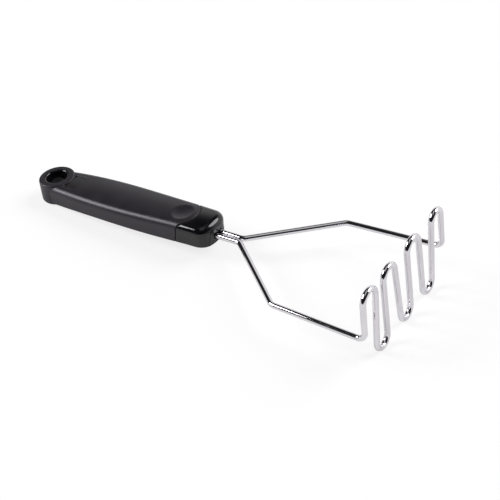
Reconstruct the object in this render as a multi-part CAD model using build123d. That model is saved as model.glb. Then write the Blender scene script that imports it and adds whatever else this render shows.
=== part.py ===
from build123d import *
import os
from math import acos, asin, atan2, cos, degrees, hypot, sin, sqrt

# Potato masher: one bent wire, set in a handle of a hard core, a soft grip and a nose plug.
# It is drawn along its handle, with +X to the head, Z = 0 at the frame's wire and X = 0 at the
# middle of the handle's nose, and then laid down as it rests on a table, with the origin under
# the middle of the whole tool. All sizes are millimetres.

# Wire frame
wire_dia = 3.5
tang_gap = 0.5              # between the two wires where they leave the handle
tang_reach = 17.4           # nose to the first bend
shoulder_reach = 65.2       # nose to the frame's two shoulders
shoulder_width = 81.4
head_reach = 125.5          # nose to the upright head
head_width = 87.0           # between the frame's two sides at the head
tang_bend_r = 6.0
shoulder_bend_r = 6.0
foot_bend_r = 4.6           # where each side of the frame turns up into the head

# Wire head: loops over the top and under the bottom, a little uneven as the real ones are
loop_rise = 28.4            # from the frame's wire up to a top loop
loop_drop = 17.6            # from the frame's wire down to a bottom loop
loop_r = 6.0
top_place_shares = (-0.414, -0.174, 0.126, 0.434)
top_size_shares = (1.07, 1.02, 1.08, 0.93)
top_rise_shares = (0.986, 1.0, 1.006, 1.006)
bottom_place_shares = (-0.306, -0.006, 0.283)
bottom_size_shares = (0.95, 0.94, 0.93)

# Wire ends, swaged flat inside the handle
tang_depth = 58.0           # nose back to the end of each wire
flat_length = 9.0
flat_height = 4.6
flat_thickness = 2.4
flat_corner_r = 0.5

# Handle outline, seen from above
nose_bulge = 2.8            # how far the middle of the nose stands ahead of its corners
nose_lean = 0.1             # how far the nose leans forward for each unit of height
nose_half_w = 12.5
nose_corner_r = 7.8
palm_x = -75.0              # widest station
palm_half_w = 14.6
eye_x = -127.7              # middle of the hanging eye
eye_r = 11.7                # at its top
eye_base_r = 12.3           # at its underside
eye_step = 0.4              # how far the eye stands out past the handle's sides
eye_rise = 6.0
eye_base = 8.1
eye_edge_r = 1.0

# Handle profile, seen from the side, at the nose, thumb, palm, waist and eye: height of the top's
# edges and depth of the underside's, and how far the crown and the belly bow out between them
thumb_x = -32.0
waist_x = -100.0
nose_top, thumb_top, palm_top, waist_top, eye_top = 6.4, 7.0, 6.0, 5.5, 4.9
nose_drop, thumb_drop, palm_drop, waist_drop, eye_drop = 4.3, 5.1, 5.2, 5.8, 7.8
nose_crown, thumb_crown, palm_crown, waist_crown, eye_crown = 1.4, 1.7, 1.7, 1.3, 0.3
nose_belly, thumb_belly, palm_belly, waist_belly, eye_belly = 2.4, 1.5, 1.2, 0.9, 0.2
top_edge_r = 4.4
bottom_edge_r = 1.6
least_edge_r = 0.5

# Soft grip over the core
grip_wall = 1.8
seam_x = -22.5              # front edge of the grip at the height of the wire
seam_slope = 0.24           # how far the seam leans towards the head for each unit of height
tongue_x = -28.4            # middle of the round tongue on top, at the same height
tongue_r = 12.5
seam_corner_r = 2.0         # where the tongue runs into the sides
seam_gap = 0.35
collar_edge_r = 0.5
grip_edge_r = 0.45
dimple_x = -24.8
dimple_r = 6.6
dimple_depth = 1.15
dimple_rim_r = 2.0

# Window in the grip beside the eye, with a plain pad of the core in it
window_front_x = -107.1
window_arc_r = 12.2         # its back edge is an arc about the eye
window_half_w = 6.4
window_corner_r = 1.2
window_edge_r = 0.4
pad_sink = 0.6

# Hanging eye, lined by the core
bore_r = 6.8
liner_wall = 1.3
liner_edge_r = 1.1

# Plug in the nose
plug_width = 16.4           # along its bottom edge
plug_height = 9.2
plug_z = 0.3
plug_side_angle = 76.0      # its sides lean in as they rise
plug_top_corner_r = 3.0
plug_depth = 12.0
plug_corner_r = 1.4
plug_proud = 0.5            # how far it stands out of the nose
plug_edge_r = 0.45
mouth_margin = 0.6          # recess about the two wires
mouth_depth = 1.2
relief_drop = 0.7           # open gap that shows under the plug
relief_depth = 3.0

# Fits, and how far sections and cutters run past what they cut
plug_fit = 0.15
wire_fit = 0.05
hair = 0.01                 # near enough to count as lying on a surface
overrun = 6.0

# Sizes that follow from those above
wire_r = wire_dia / 2
half_head = head_width / 2
half_shoulder = shoulder_width / 2
tail_x = eye_x - eye_base_r
liner_r = bore_r + liner_wall
well_r = wire_r + wire_fit
tang_spacing = wire_dia + tang_gap
half_tang = tang_spacing / 2
handle_length = -tail_x
handle_height = thumb_top + thumb_drop + thumb_crown
handle_width = 2 * palm_half_w


def upright(y, z):
    """A point in the plane of the wire head."""
    return Vector(head_reach, y, z)


def head_loops():
    """Centre, radius and side (1 over the top, -1 under the bottom) of each loop, in order."""
    tops = []
    for place, size, rise in zip(top_place_shares, top_size_shares, top_rise_shares):
        r = loop_r * size
        tops.append((head_width * place, loop_rise * rise - r, r, 1))
    bottoms = []
    for place, size in zip(bottom_place_shares, bottom_size_shares):
        r = loop_r * size
        bottoms.append((head_width * place, r - loop_drop, r, -1))
    loops = [tops[0]]
    for bottom, top in zip(bottoms, tops[1:]):
        loops += [bottom, top]
    return loops


def leg_between(first, second):
    """Ends of the straight leg that leaves one loop and meets the next on its other side."""
    y1, z1, r1, side = first
    y2, z2, r2, _ = second
    span = hypot(y2 - y1, z2 - z1)
    angle = atan2(z2 - z1, y2 - y1) + side * acos((r1 + r2) / span)
    leave = (y1 + r1 * cos(angle), z1 + r1 * sin(angle))
    meet = (y2 - r2 * cos(angle), z2 - r2 * sin(angle))
    return leave, meet


def end_leg(foot_y, loop):
    """Where a leg that rises from the frame at foot_y meets an end loop."""
    y, z, r, _ = loop
    turn = -1 if foot_y < 0 else 1
    angle = atan2(-z, foot_y - y) + turn * acos(r / hypot(foot_y - y, z))
    return y + r * cos(angle), z + r * sin(angle)


def head_edges():
    """Loops and legs of the head, with the points where its two end legs begin."""
    loops = head_loops()
    legs = [leg_between(a, b) for a, b in zip(loops, loops[1:])]
    meets = [end_leg(-half_head, loops[0])] + [meet for _, meet in legs]
    leaves = [leave for leave, _ in legs] + [end_leg(half_head, loops[-1])]
    edges = [Line(upright(*leave), upright(*meet)) for leave, meet in legs]
    for (y, z, r, side), meet, leave in zip(loops, meets, leaves):
        edges.append(ThreePointArc(upright(*meet), upright(y, z + side * r), upright(*leave)))
    return edges, meets[0], leaves[-1]


def frame_side(side, leg_top):
    """One side of the frame: its tang, shoulder and foot, and the end leg of the head."""
    points = [
        Vector(-tang_depth, side * half_tang, 0),
        Vector(tang_reach, side * half_tang, 0),
        Vector(shoulder_reach, side * half_shoulder, 0),
        Vector(head_reach, side * half_head, 0),
        upright(*leg_top),
    ]
    return FilletPolyline(*points, radius=[tang_bend_r, shoulder_bend_r, foot_bend_r])


def wire_flat(side, fit=0):
    """Swaged flat on one end of the wire, or with a fit the room for it."""
    flat = Box(flat_length + 2 * fit, flat_thickness + 2 * fit, flat_height + 2 * fit)
    flat = fillet(flat.edges().filter_by(Axis.Y), flat_corner_r)
    return Pos(flat_length / 2 - tang_depth, side * half_tang, 0) * flat


def make_masher_wire():
    """The one wire, from end to end."""
    head, near_top, far_top = head_edges()
    path = Wire(frame_side(-1, near_top).edges() + head + frame_side(1, far_top).edges())
    start = Plane(origin=(-tang_depth, -half_tang, 0), z_dir=(1, 0, 0))
    wire = sweep(start * Circle(wire_r), path=path)
    return wire + wire_flat(-1) + wire_flat(1)


def outline_face(skin):
    """The handle seen from above as far as the middle of its eye, drawn in by skin all round."""
    corner_x = -nose_bulge - skin
    half_nose = nose_half_w - skin
    half_palm = palm_half_w - skin
    half_neck = eye_r - eye_step - skin
    nose = ThreePointArc((corner_x, -half_nose), (-skin, 0), (corner_x, half_nose))
    neck = Line((eye_x, -half_neck), (eye_x, half_neck))
    flare = Spline((corner_x, half_nose), (palm_x, half_palm), tangents=((-1, 0), (-1, 0)))
    taper = TangentArc((palm_x, half_palm), (eye_x, half_neck), tangent=(-1, 0))
    sides = [flare, taper, mirror(flare, Plane.XZ), mirror(taper, Plane.XZ)]
    body = make_face([nose, neck] + sides)
    return fillet(body.vertices().group_by(Axis.X)[-1], nose_corner_r - skin)


def leaning_prism(plan, lean):
    """Everything above and below a plan, leaning towards the head by lean for each unit of height."""
    foot = Pos(-lean * handle_height, 0, -handle_height) * plan
    return extrude(foot, 2 * hypot(handle_height, lean * handle_height), dir=(lean, 0, 1))


def bow_radius(rise):
    """Radius of the bow that rises so far over the handle's full width."""
    return (palm_half_w ** 2 + rise ** 2) / (2 * rise)


def profile_section(x, top, drop, crown, belly):
    """Cross-section of the handle at x, wider than the handle, with a bowed top and underside."""
    reach = palm_half_w + top_edge_r
    crown_r = bow_radius(crown)
    belly_r = bow_radius(belly)
    peak = top + crown
    base = -drop - belly
    top_edge = peak - crown_r + sqrt(crown_r ** 2 - reach ** 2)
    bottom_edge = base + belly_r - sqrt(belly_r ** 2 - reach ** 2)
    outline = [
        Line((-reach, top_edge), (-reach, bottom_edge)),
        ThreePointArc((-reach, bottom_edge), (0, base), (reach, bottom_edge)),
        Line((reach, bottom_edge), (reach, top_edge)),
        ThreePointArc((reach, top_edge), (0, peak), (-reach, top_edge)),
    ]
    across = Plane(origin=(x, 0, 0), x_dir=(0, 1, 0), z_dir=(1, 0, 0))
    return across * make_face(outline)


def handle_form(skin):
    """The handle's whole outer form, drawn in by skin all round."""
    stations = (
        (tail_x - overrun, eye_top, eye_drop, eye_crown, eye_belly),
        (eye_x, eye_top, eye_drop, eye_crown, eye_belly),
        (waist_x, waist_top, waist_drop, waist_crown, waist_belly),
        (palm_x, palm_top, palm_drop, palm_crown, palm_belly),
        (thumb_x, thumb_top, thumb_drop, thumb_crown, thumb_belly),
        (overrun, nose_top, nose_drop, nose_crown, nose_belly),
    )
    sections = []
    for x, top, drop, crown, belly in stations:
        sections.append(profile_section(x, top - skin, drop - skin, crown, belly))
    body = loft(sections) & leaning_prism(outline_face(skin), nose_lean)
    body = fillet(body.faces().sort_by(Axis.Z)[-1].edges(), max(top_edge_r - skin, least_edge_r))
    body = fillet(body.faces().sort_by(Axis.Z)[0].edges(), max(bottom_edge_r - skin, least_edge_r))
    eye_height = eye_rise + eye_base - 2 * skin
    eye = Pos(eye_x, 0, (eye_rise - eye_base) / 2) * Cone(eye_base_r - skin, eye_r - skin, eye_height)
    return body + fillet(eye.edges().filter_by(GeomType.CIRCLE), max(eye_edge_r - skin, least_edge_r))


def rod(r, x_from, x_to, y=0):
    """A round bar along the handle."""
    start = Plane(origin=(x_from, y, 0), z_dir=(1, 0, 0))
    return extrude(start * Circle(r), x_to - x_from)


def eye_column(r):
    """An upright round bar that passes right through the hanging eye."""
    return Pos(eye_x, 0) * Cylinder(r, 2 * handle_height)


def grip_region(gap=0):
    """The space that the grip may take: all behind the leaning seam, and its round tongue on top."""
    length = seam_x + gap - tail_x + overrun
    plan = Pos(seam_x + gap - length / 2, 0) * Rectangle(length, 2 * handle_width)
    plan += Pos(tongue_x, 0) * Circle(tongue_r + gap)
    corners = [v for v in plan.vertices() if v.X > tongue_x and abs(v.Y) < handle_width / 2]
    return leaning_prism(fillet(corners, seam_corner_r), seam_slope)


def window_prism():
    """The window beside the eye, from the frame's plane up."""
    length = window_front_x - eye_x
    plan = Pos(eye_x + length / 2, 0) * Rectangle(length, 2 * window_half_w)
    plan -= Pos(eye_x, 0) * Circle(window_arc_r)
    plan = fillet(plan.vertices(), window_corner_r)
    return extrude(plan, handle_height)


def dimple_cutter():
    """A shallow bowl in the tongue, spread across so that it looks round on the crowned top."""
    bowl_r = dimple_r ** 2 / (2 * dimple_depth)
    crown_r = bow_radius(thumb_crown)
    bowl = scale(Sphere(bowl_r), by=(1, sqrt(crown_r / (crown_r - bowl_r)), 1))
    return Pos(dimple_x, 0, thumb_top + thumb_crown - dimple_depth + bowl_r) * bowl


def cut_edges(before, cutter, after, surface):
    """The edges that a cut has made on a surface."""
    made = new_edges(before, cutter, combined=after)
    return [edge for edge in made if surface.distance_to(edge @ 0.5) < hair]


def make_soft_grip(outer, inner):
    """The soft overmould, from the thumb dimple to the tail."""
    surface = outer.shell()
    region = grip_region()
    grip = outer & region
    grip = fillet(cut_edges(outer, region, grip, surface), grip_edge_r)
    bowl = dimple_cutter()
    dimpled = grip - bowl
    grip = fillet(new_edges(grip, bowl, combined=dimpled), dimple_rim_r)
    window = window_prism()
    opened = grip - window
    grip = fillet(cut_edges(grip, window, opened, surface), window_edge_r)
    return grip - inner - eye_column(liner_r)


def make_handle_core(outer, inner):
    """The hard core: the collar in front, the inside of the grip and the lining of the eye."""
    surface = outer.shell()
    region = grip_region(seam_gap)
    collar = outer - region
    collar = fillet(cut_edges(outer, region, collar, surface), collar_edge_r)
    liner = outer & eye_column(liner_r)
    bore = eye_column(bore_r)
    bored = liner - bore
    liner = fillet(cut_edges(liner, bore, bored, surface), liner_edge_r)
    pad = Pos(0, 0, -pad_sink) * outer & window_prism()
    core = collar + inner + pad - bore + liner
    core -= plug_bar(0)
    core -= Pos(plug_depth - relief_depth, 0, -relief_drop) * plug_bar(0)
    for side in (-1, 1):
        core -= rod(well_r, -tang_depth, 0, side * half_tang)
        core -= wire_flat(side, wire_fit)
    return core


def plug_bar(fit):
    """The room for the plug, or with a fit the bar that the plug is cut from."""
    across = Plane(origin=(fit - plug_depth, 0, plug_z), x_dir=(0, 1, 0), z_dir=(1, 0, 0))
    shape = Trapezoid(plug_width - 2 * fit, plug_height - 2 * fit, plug_side_angle)
    shape = fillet(shape.vertices().group_by(Axis.Y)[0], plug_corner_r - fit)
    shape = fillet(shape.vertices().group_by(Axis.Y)[-1], plug_top_corner_r - fit)
    return extrude(across * shape, plug_depth + overrun)


def make_nose_plug():
    """The insert in the nose, with a hole for each wire and one mouth about both."""
    plug = plug_bar(plug_fit) & leaning_prism(Pos(plug_proud, 0) * outline_face(0), nose_lean)
    front = plug.faces().sort_by(Axis.X)[-1]
    plug = fillet(front.edges(), plug_edge_r)
    for side in (-1, 1):
        plug -= rod(well_r, -handle_length, overrun, side * half_tang)
    across = Plane(origin=(plug_proud - mouth_depth, 0, 0), x_dir=(0, 1, 0), z_dir=(1, 0, 0))
    mouth = SlotCenterToCenter(tang_spacing, wire_dia + 2 * mouth_margin)
    return plug - extrude(across * mouth, overrun)


def resting_pose():
    """Turn that lays the tool on its bottom loops and the tail of its handle."""
    length = head_reach - (tail_x + eye_edge_r)
    fall = loop_drop - (eye_base - eye_edge_r)
    pitch = atan2(fall, length) + asin((wire_r - eye_edge_r) / hypot(length, fall))
    return Rot(0, -degrees(pitch), 0)


def make_masher():
    """Every piece by name, at rest on Z = 0 with the origin under the middle of the tool."""
    outer = handle_form(0)
    inner = handle_form(grip_wall)
    pieces = {
        "masher_wire": make_masher_wire(),
        "handle_core": make_handle_core(outer, inner),
        "soft_grip": make_soft_grip(outer, inner),
        "nose_plug": make_nose_plug(),
    }
    turn = resting_pose()
    box = Compound([turn * piece for piece in pieces.values()]).bounding_box()
    place = Pos(-box.center().X, 0, -box.min.Z) * turn
    return {name: place * piece for name, piece in pieces.items()}


if __name__ == "__main__":
    os.makedirs("parts", exist_ok=True)
    for name, piece in make_masher().items():
        export_step(piece, f"parts/{name}.step")
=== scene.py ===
import bpy
from math import cos, radians, sin
from mathutils import Euler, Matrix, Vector

# Potato masher: chromed wire, matte soft grip, glossy hard core and a satin plug, on a white floor
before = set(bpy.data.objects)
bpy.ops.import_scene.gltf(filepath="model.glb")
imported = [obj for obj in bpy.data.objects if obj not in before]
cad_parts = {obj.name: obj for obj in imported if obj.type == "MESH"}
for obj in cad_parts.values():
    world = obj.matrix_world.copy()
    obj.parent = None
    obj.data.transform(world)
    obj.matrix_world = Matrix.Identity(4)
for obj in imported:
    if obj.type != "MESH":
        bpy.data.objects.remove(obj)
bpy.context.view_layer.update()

# Camera, from a fit of the wire frame and the handle to the photograph
CAMERA_AT = (0.369614, -0.429987, 0.451028)
CAMERA_TURN = (50.9854, 5.4571, 34.0118)
LENS = 86.4
SENSOR = 36.0
NEAREST = 0.01
FARTHEST = 20.0

# Lamps: name, compass bearing and height above the floor in degrees, spread in degrees, strength
SOFT_LIGHTS = (
    ("right_light", 52, 41, 36, 1.9),
    ("left_light", -154, 36, 28, 2.1),
)

# Floor: its half width, its grey, how bright it glows, and the share of the glow that the camera
# sees and that reflections see
FLOOR_HALF = 3.0
FLOOR_GREY = 0.9
FLOOR_GLOW = 1.05
FLOOR_GLOW_SHARE = 0.75
FLOOR_MIRROR_SHARE = 0.2

# Room: compass bearings in degrees, and spans over which a light fades. A rise span is in heights
# of a direction, from 0 level to 1 straight up, and the other two in how far it turns to a bearing.
FLOOR_RISE = (-0.03, 0.14)
BACKDROP_BEARING = 85
BACKDROP_TURN = (0.25, 0.85)
BACKDROP_RISE = (0.42, 0.68)
STRIP_BEARING = 35
STRIP_TURN = (0.15, 0.35)
STRIP_RISE = (0.82, 1.0)
STRIP_GLOW = 0.65
ROOM_GLOW = 0.015

# Materials: the parts of a noise that blend the two tones and the roughness, the detail of a
# noise, and the depth of the grain in metres
TONE_SPAN = (0.35, 0.65)
ROUGH_SPAN = (0.3, 0.7)
NOISE_DETAIL = 4.0
RUBBER_DETAIL = 2.0
GRAIN_DEPTH = 0.0001
RUBBER_SHEEN = 0.65
RUBBER_TINT = (0.95, 0.88, 1.0)


def make_camera():
    data = bpy.data.cameras.new("camera")
    data.lens = LENS
    data.sensor_width = SENSOR
    data.clip_start = NEAREST
    data.clip_end = FARTHEST
    camera = bpy.data.objects.new("camera", data)
    camera.location = CAMERA_AT
    camera.rotation_euler = Euler([radians(v) for v in CAMERA_TURN], "XYZ")
    bpy.context.collection.objects.link(camera)
    bpy.context.scene.camera = camera


def new_material(name):
    material = bpy.data.materials.new(name)
    material.use_nodes = True
    return material, material.node_tree.nodes, material.node_tree.links


def add_noise(nodes, links, scale, detail=NOISE_DETAIL):
    place = nodes.new("ShaderNodeTexCoord")
    noise = nodes.new("ShaderNodeTexNoise")
    noise.inputs["Scale"].default_value = scale
    noise.inputs["Detail"].default_value = detail
    noise.inputs["Roughness"].default_value = 0.5
    links.new(place.outputs["Object"], noise.inputs["Vector"])
    return noise.outputs["Fac"]


def map_range(nodes, links, value, start, end, smooth=False):
    """A value mapped from one span to another, and held to the second."""
    ramp = nodes.new("ShaderNodeMapRange")
    ramp.interpolation_type = "SMOOTHSTEP" if smooth else "LINEAR"
    ramp.inputs["From Min"].default_value = start[0]
    ramp.inputs["From Max"].default_value = start[1]
    ramp.inputs["To Min"].default_value = end[0]
    ramp.inputs["To Max"].default_value = end[1]
    links.new(value, ramp.inputs["Value"])
    return ramp.outputs["Result"]


def math_node(nodes, links, operation, *values):
    node = nodes.new("ShaderNodeMath")
    node.operation = operation
    for socket, value in zip(node.inputs, values):
        if isinstance(value, (int, float)):
            socket.default_value = value
        else:
            links.new(value, socket)
    return node.outputs["Value"]


def two_tones(nodes, links, value, tones):
    ramp = nodes.new("ShaderNodeValToRGB")
    for element, position, tone in zip(ramp.color_ramp.elements, TONE_SPAN, tones):
        element.position = position
        element.color = (*tone, 1)
    links.new(value, ramp.inputs["Fac"])
    return ramp.outputs["Color"]


def add_bump(nodes, links, shader, value, strength):
    bump = nodes.new("ShaderNodeBump")
    bump.inputs["Strength"].default_value = strength
    bump.inputs["Distance"].default_value = GRAIN_DEPTH
    links.new(value, bump.inputs["Height"])
    links.new(bump.outputs["Normal"], shader.inputs["Normal"])


def surface(name, tones, rough, scale, grain_scale, grain_strength, grain_detail=NOISE_DETAIL):
    """A material whose tone and roughness vary with one noise, under a finer grain."""
    material, nodes, links = new_material(name)
    shader = nodes["Principled BSDF"]
    value = add_noise(nodes, links, scale)
    links.new(two_tones(nodes, links, value, tones), shader.inputs["Base Color"])
    links.new(map_range(nodes, links, value, ROUGH_SPAN, rough), shader.inputs["Roughness"])
    add_bump(nodes, links, shader, add_noise(nodes, links, grain_scale, grain_detail), grain_strength)
    return material, shader


def chrome():
    tones = (0.70, 0.68, 0.715), (0.735, 0.72, 0.75)
    material, shader = surface("chromed_wire", tones, (0.03, 0.07), 60.0, 900.0, 0.05)
    shader.inputs["Metallic"].default_value = 1.0
    return material


def hard_plastic(name, tones, rough):
    material, _ = surface(name, tones, rough, 120.0, 700.0, 0.04)
    return material


def soft_rubber():
    tones = (0.006, 0.005, 0.008), (0.009, 0.008, 0.011)
    material, shader = surface("soft_grip", tones, (0.37, 0.45), 90.0, 2600.0, 0.25, RUBBER_DETAIL)
    shader.inputs["Specular IOR Level"].default_value = RUBBER_SHEEN
    shader.inputs["Specular Tint"].default_value = (*RUBBER_TINT, 1)
    return material


def dress(node, material):
    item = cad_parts[node]
    item.data.materials.clear()
    item.data.materials.append(material)


def make_floor():
    """A pale floor that keeps the shadow, with a glow that only the camera and reflections see."""
    mesh = bpy.data.meshes.new("floor")
    corners = [(x * FLOOR_HALF, y * FLOOR_HALF, 0) for x, y in ((-1, -1), (1, -1), (1, 1), (-1, 1))]
    mesh.from_pydata(corners, [], [(0, 1, 2, 3)])
    floor = bpy.data.objects.new("floor", mesh)
    bpy.context.collection.objects.link(floor)
    material, nodes, links = new_material("floor")
    shader = nodes["Principled BSDF"]
    shader.inputs["Base Color"].default_value = (FLOOR_GREY, FLOOR_GREY, FLOOR_GREY, 1)
    shader.inputs["Roughness"].default_value = 1.0
    shader.inputs["Specular IOR Level"].default_value = 0.0
    glow = nodes.new("ShaderNodeEmission")
    glow.inputs["Strength"].default_value = FLOOR_GLOW
    path = nodes.new("ShaderNodeLightPath")
    straight = math_node(nodes, links, "MULTIPLY", path.outputs["Is Camera Ray"], FLOOR_GLOW_SHARE)
    mirrored = math_node(nodes, links, "MULTIPLY", path.outputs["Is Glossy Ray"], FLOOR_MIRROR_SHARE)
    mix = nodes.new("ShaderNodeMixShader")
    links.new(math_node(nodes, links, "MAXIMUM", straight, mirrored), mix.inputs["Fac"])
    links.new(shader.outputs["BSDF"], mix.inputs[1])
    links.new(glow.outputs["Emission"], mix.inputs[2])
    links.new(mix.outputs["Shader"], nodes["Material Output"].inputs["Surface"])
    mesh.materials.append(material)


def toward(nodes, links, place, bearing):
    """How far a direction turns to a compass bearing: 1 straight at it and -1 away from it."""
    dot = nodes.new("ShaderNodeVectorMath")
    dot.operation = "DOT_PRODUCT"
    dot.inputs[1].default_value = (cos(radians(bearing)), sin(radians(bearing)), 0)
    links.new(place.outputs["Generated"], dot.inputs[0])
    return dot.outputs["Value"]


def make_world():
    """A dark room over a white floor, with a white backdrop behind and a strip light overhead."""
    world = bpy.data.worlds.new("studio")
    bpy.context.scene.world = world
    world.use_nodes = True
    nodes, links = world.node_tree.nodes, world.node_tree.links
    place = nodes.new("ShaderNodeTexCoord")
    parts = nodes.new("ShaderNodeSeparateXYZ")
    links.new(place.outputs["Generated"], parts.inputs["Vector"])
    height = parts.outputs["Z"]
    floor = map_range(nodes, links, height, FLOOR_RISE, (1.0, 0.0), True)
    backdrop_turn = toward(nodes, links, place, BACKDROP_BEARING)
    wide = map_range(nodes, links, backdrop_turn, BACKDROP_TURN, (0.0, 1.0), True)
    tall = map_range(nodes, links, height, BACKDROP_RISE, (1.0, 0.0), True)
    backdrop = math_node(nodes, links, "MULTIPLY", wide, tall)
    off_strip = math_node(nodes, links, "ABSOLUTE", toward(nodes, links, place, STRIP_BEARING))
    narrow = map_range(nodes, links, off_strip, STRIP_TURN, (1.0, 0.0), True)
    overhead = map_range(nodes, links, height, STRIP_RISE, (0.0, STRIP_GLOW))
    strip = math_node(nodes, links, "MULTIPLY", narrow, overhead)
    path = nodes.new("ShaderNodeLightPath")
    light = floor
    for other in (backdrop, strip, ROOM_GLOW, path.outputs["Is Camera Ray"]):
        light = math_node(nodes, links, "MAXIMUM", light, other)
    links.new(light, nodes["Background"].inputs["Strength"])
    nodes["Background"].inputs["Color"].default_value = (1, 1, 1, 1)


def add_soft_light(name, bearing, height, spread, strength):
    data = bpy.data.lights.new(name, "SUN")
    data.energy = strength
    data.angle = radians(spread)
    lamp = bpy.data.objects.new(name, data)
    direction = Vector((
        cos(radians(height)) * cos(radians(bearing)),
        cos(radians(height)) * sin(radians(bearing)),
        sin(radians(height)),
    ))
    lamp.rotation_euler = direction.to_track_quat("Z", "Y").to_euler()
    bpy.context.collection.objects.link(lamp)


make_camera()
make_floor()
make_world()
for light in SOFT_LIGHTS:
    add_soft_light(*light)
dress("masher_wire", chrome())
core_tones = (0.004, 0.004, 0.006), (0.007, 0.0065, 0.008)
dress("handle_core", hard_plastic("hard_core", core_tones, (0.08, 0.13)))
plug_tones = (0.014, 0.014, 0.016), (0.020, 0.020, 0.022)
dress("nose_plug", hard_plastic("nose_plug", plug_tones, (0.32, 0.42)))
dress("soft_grip", soft_rubber())

bpy.context.scene.view_settings.view_transform = "Standard"
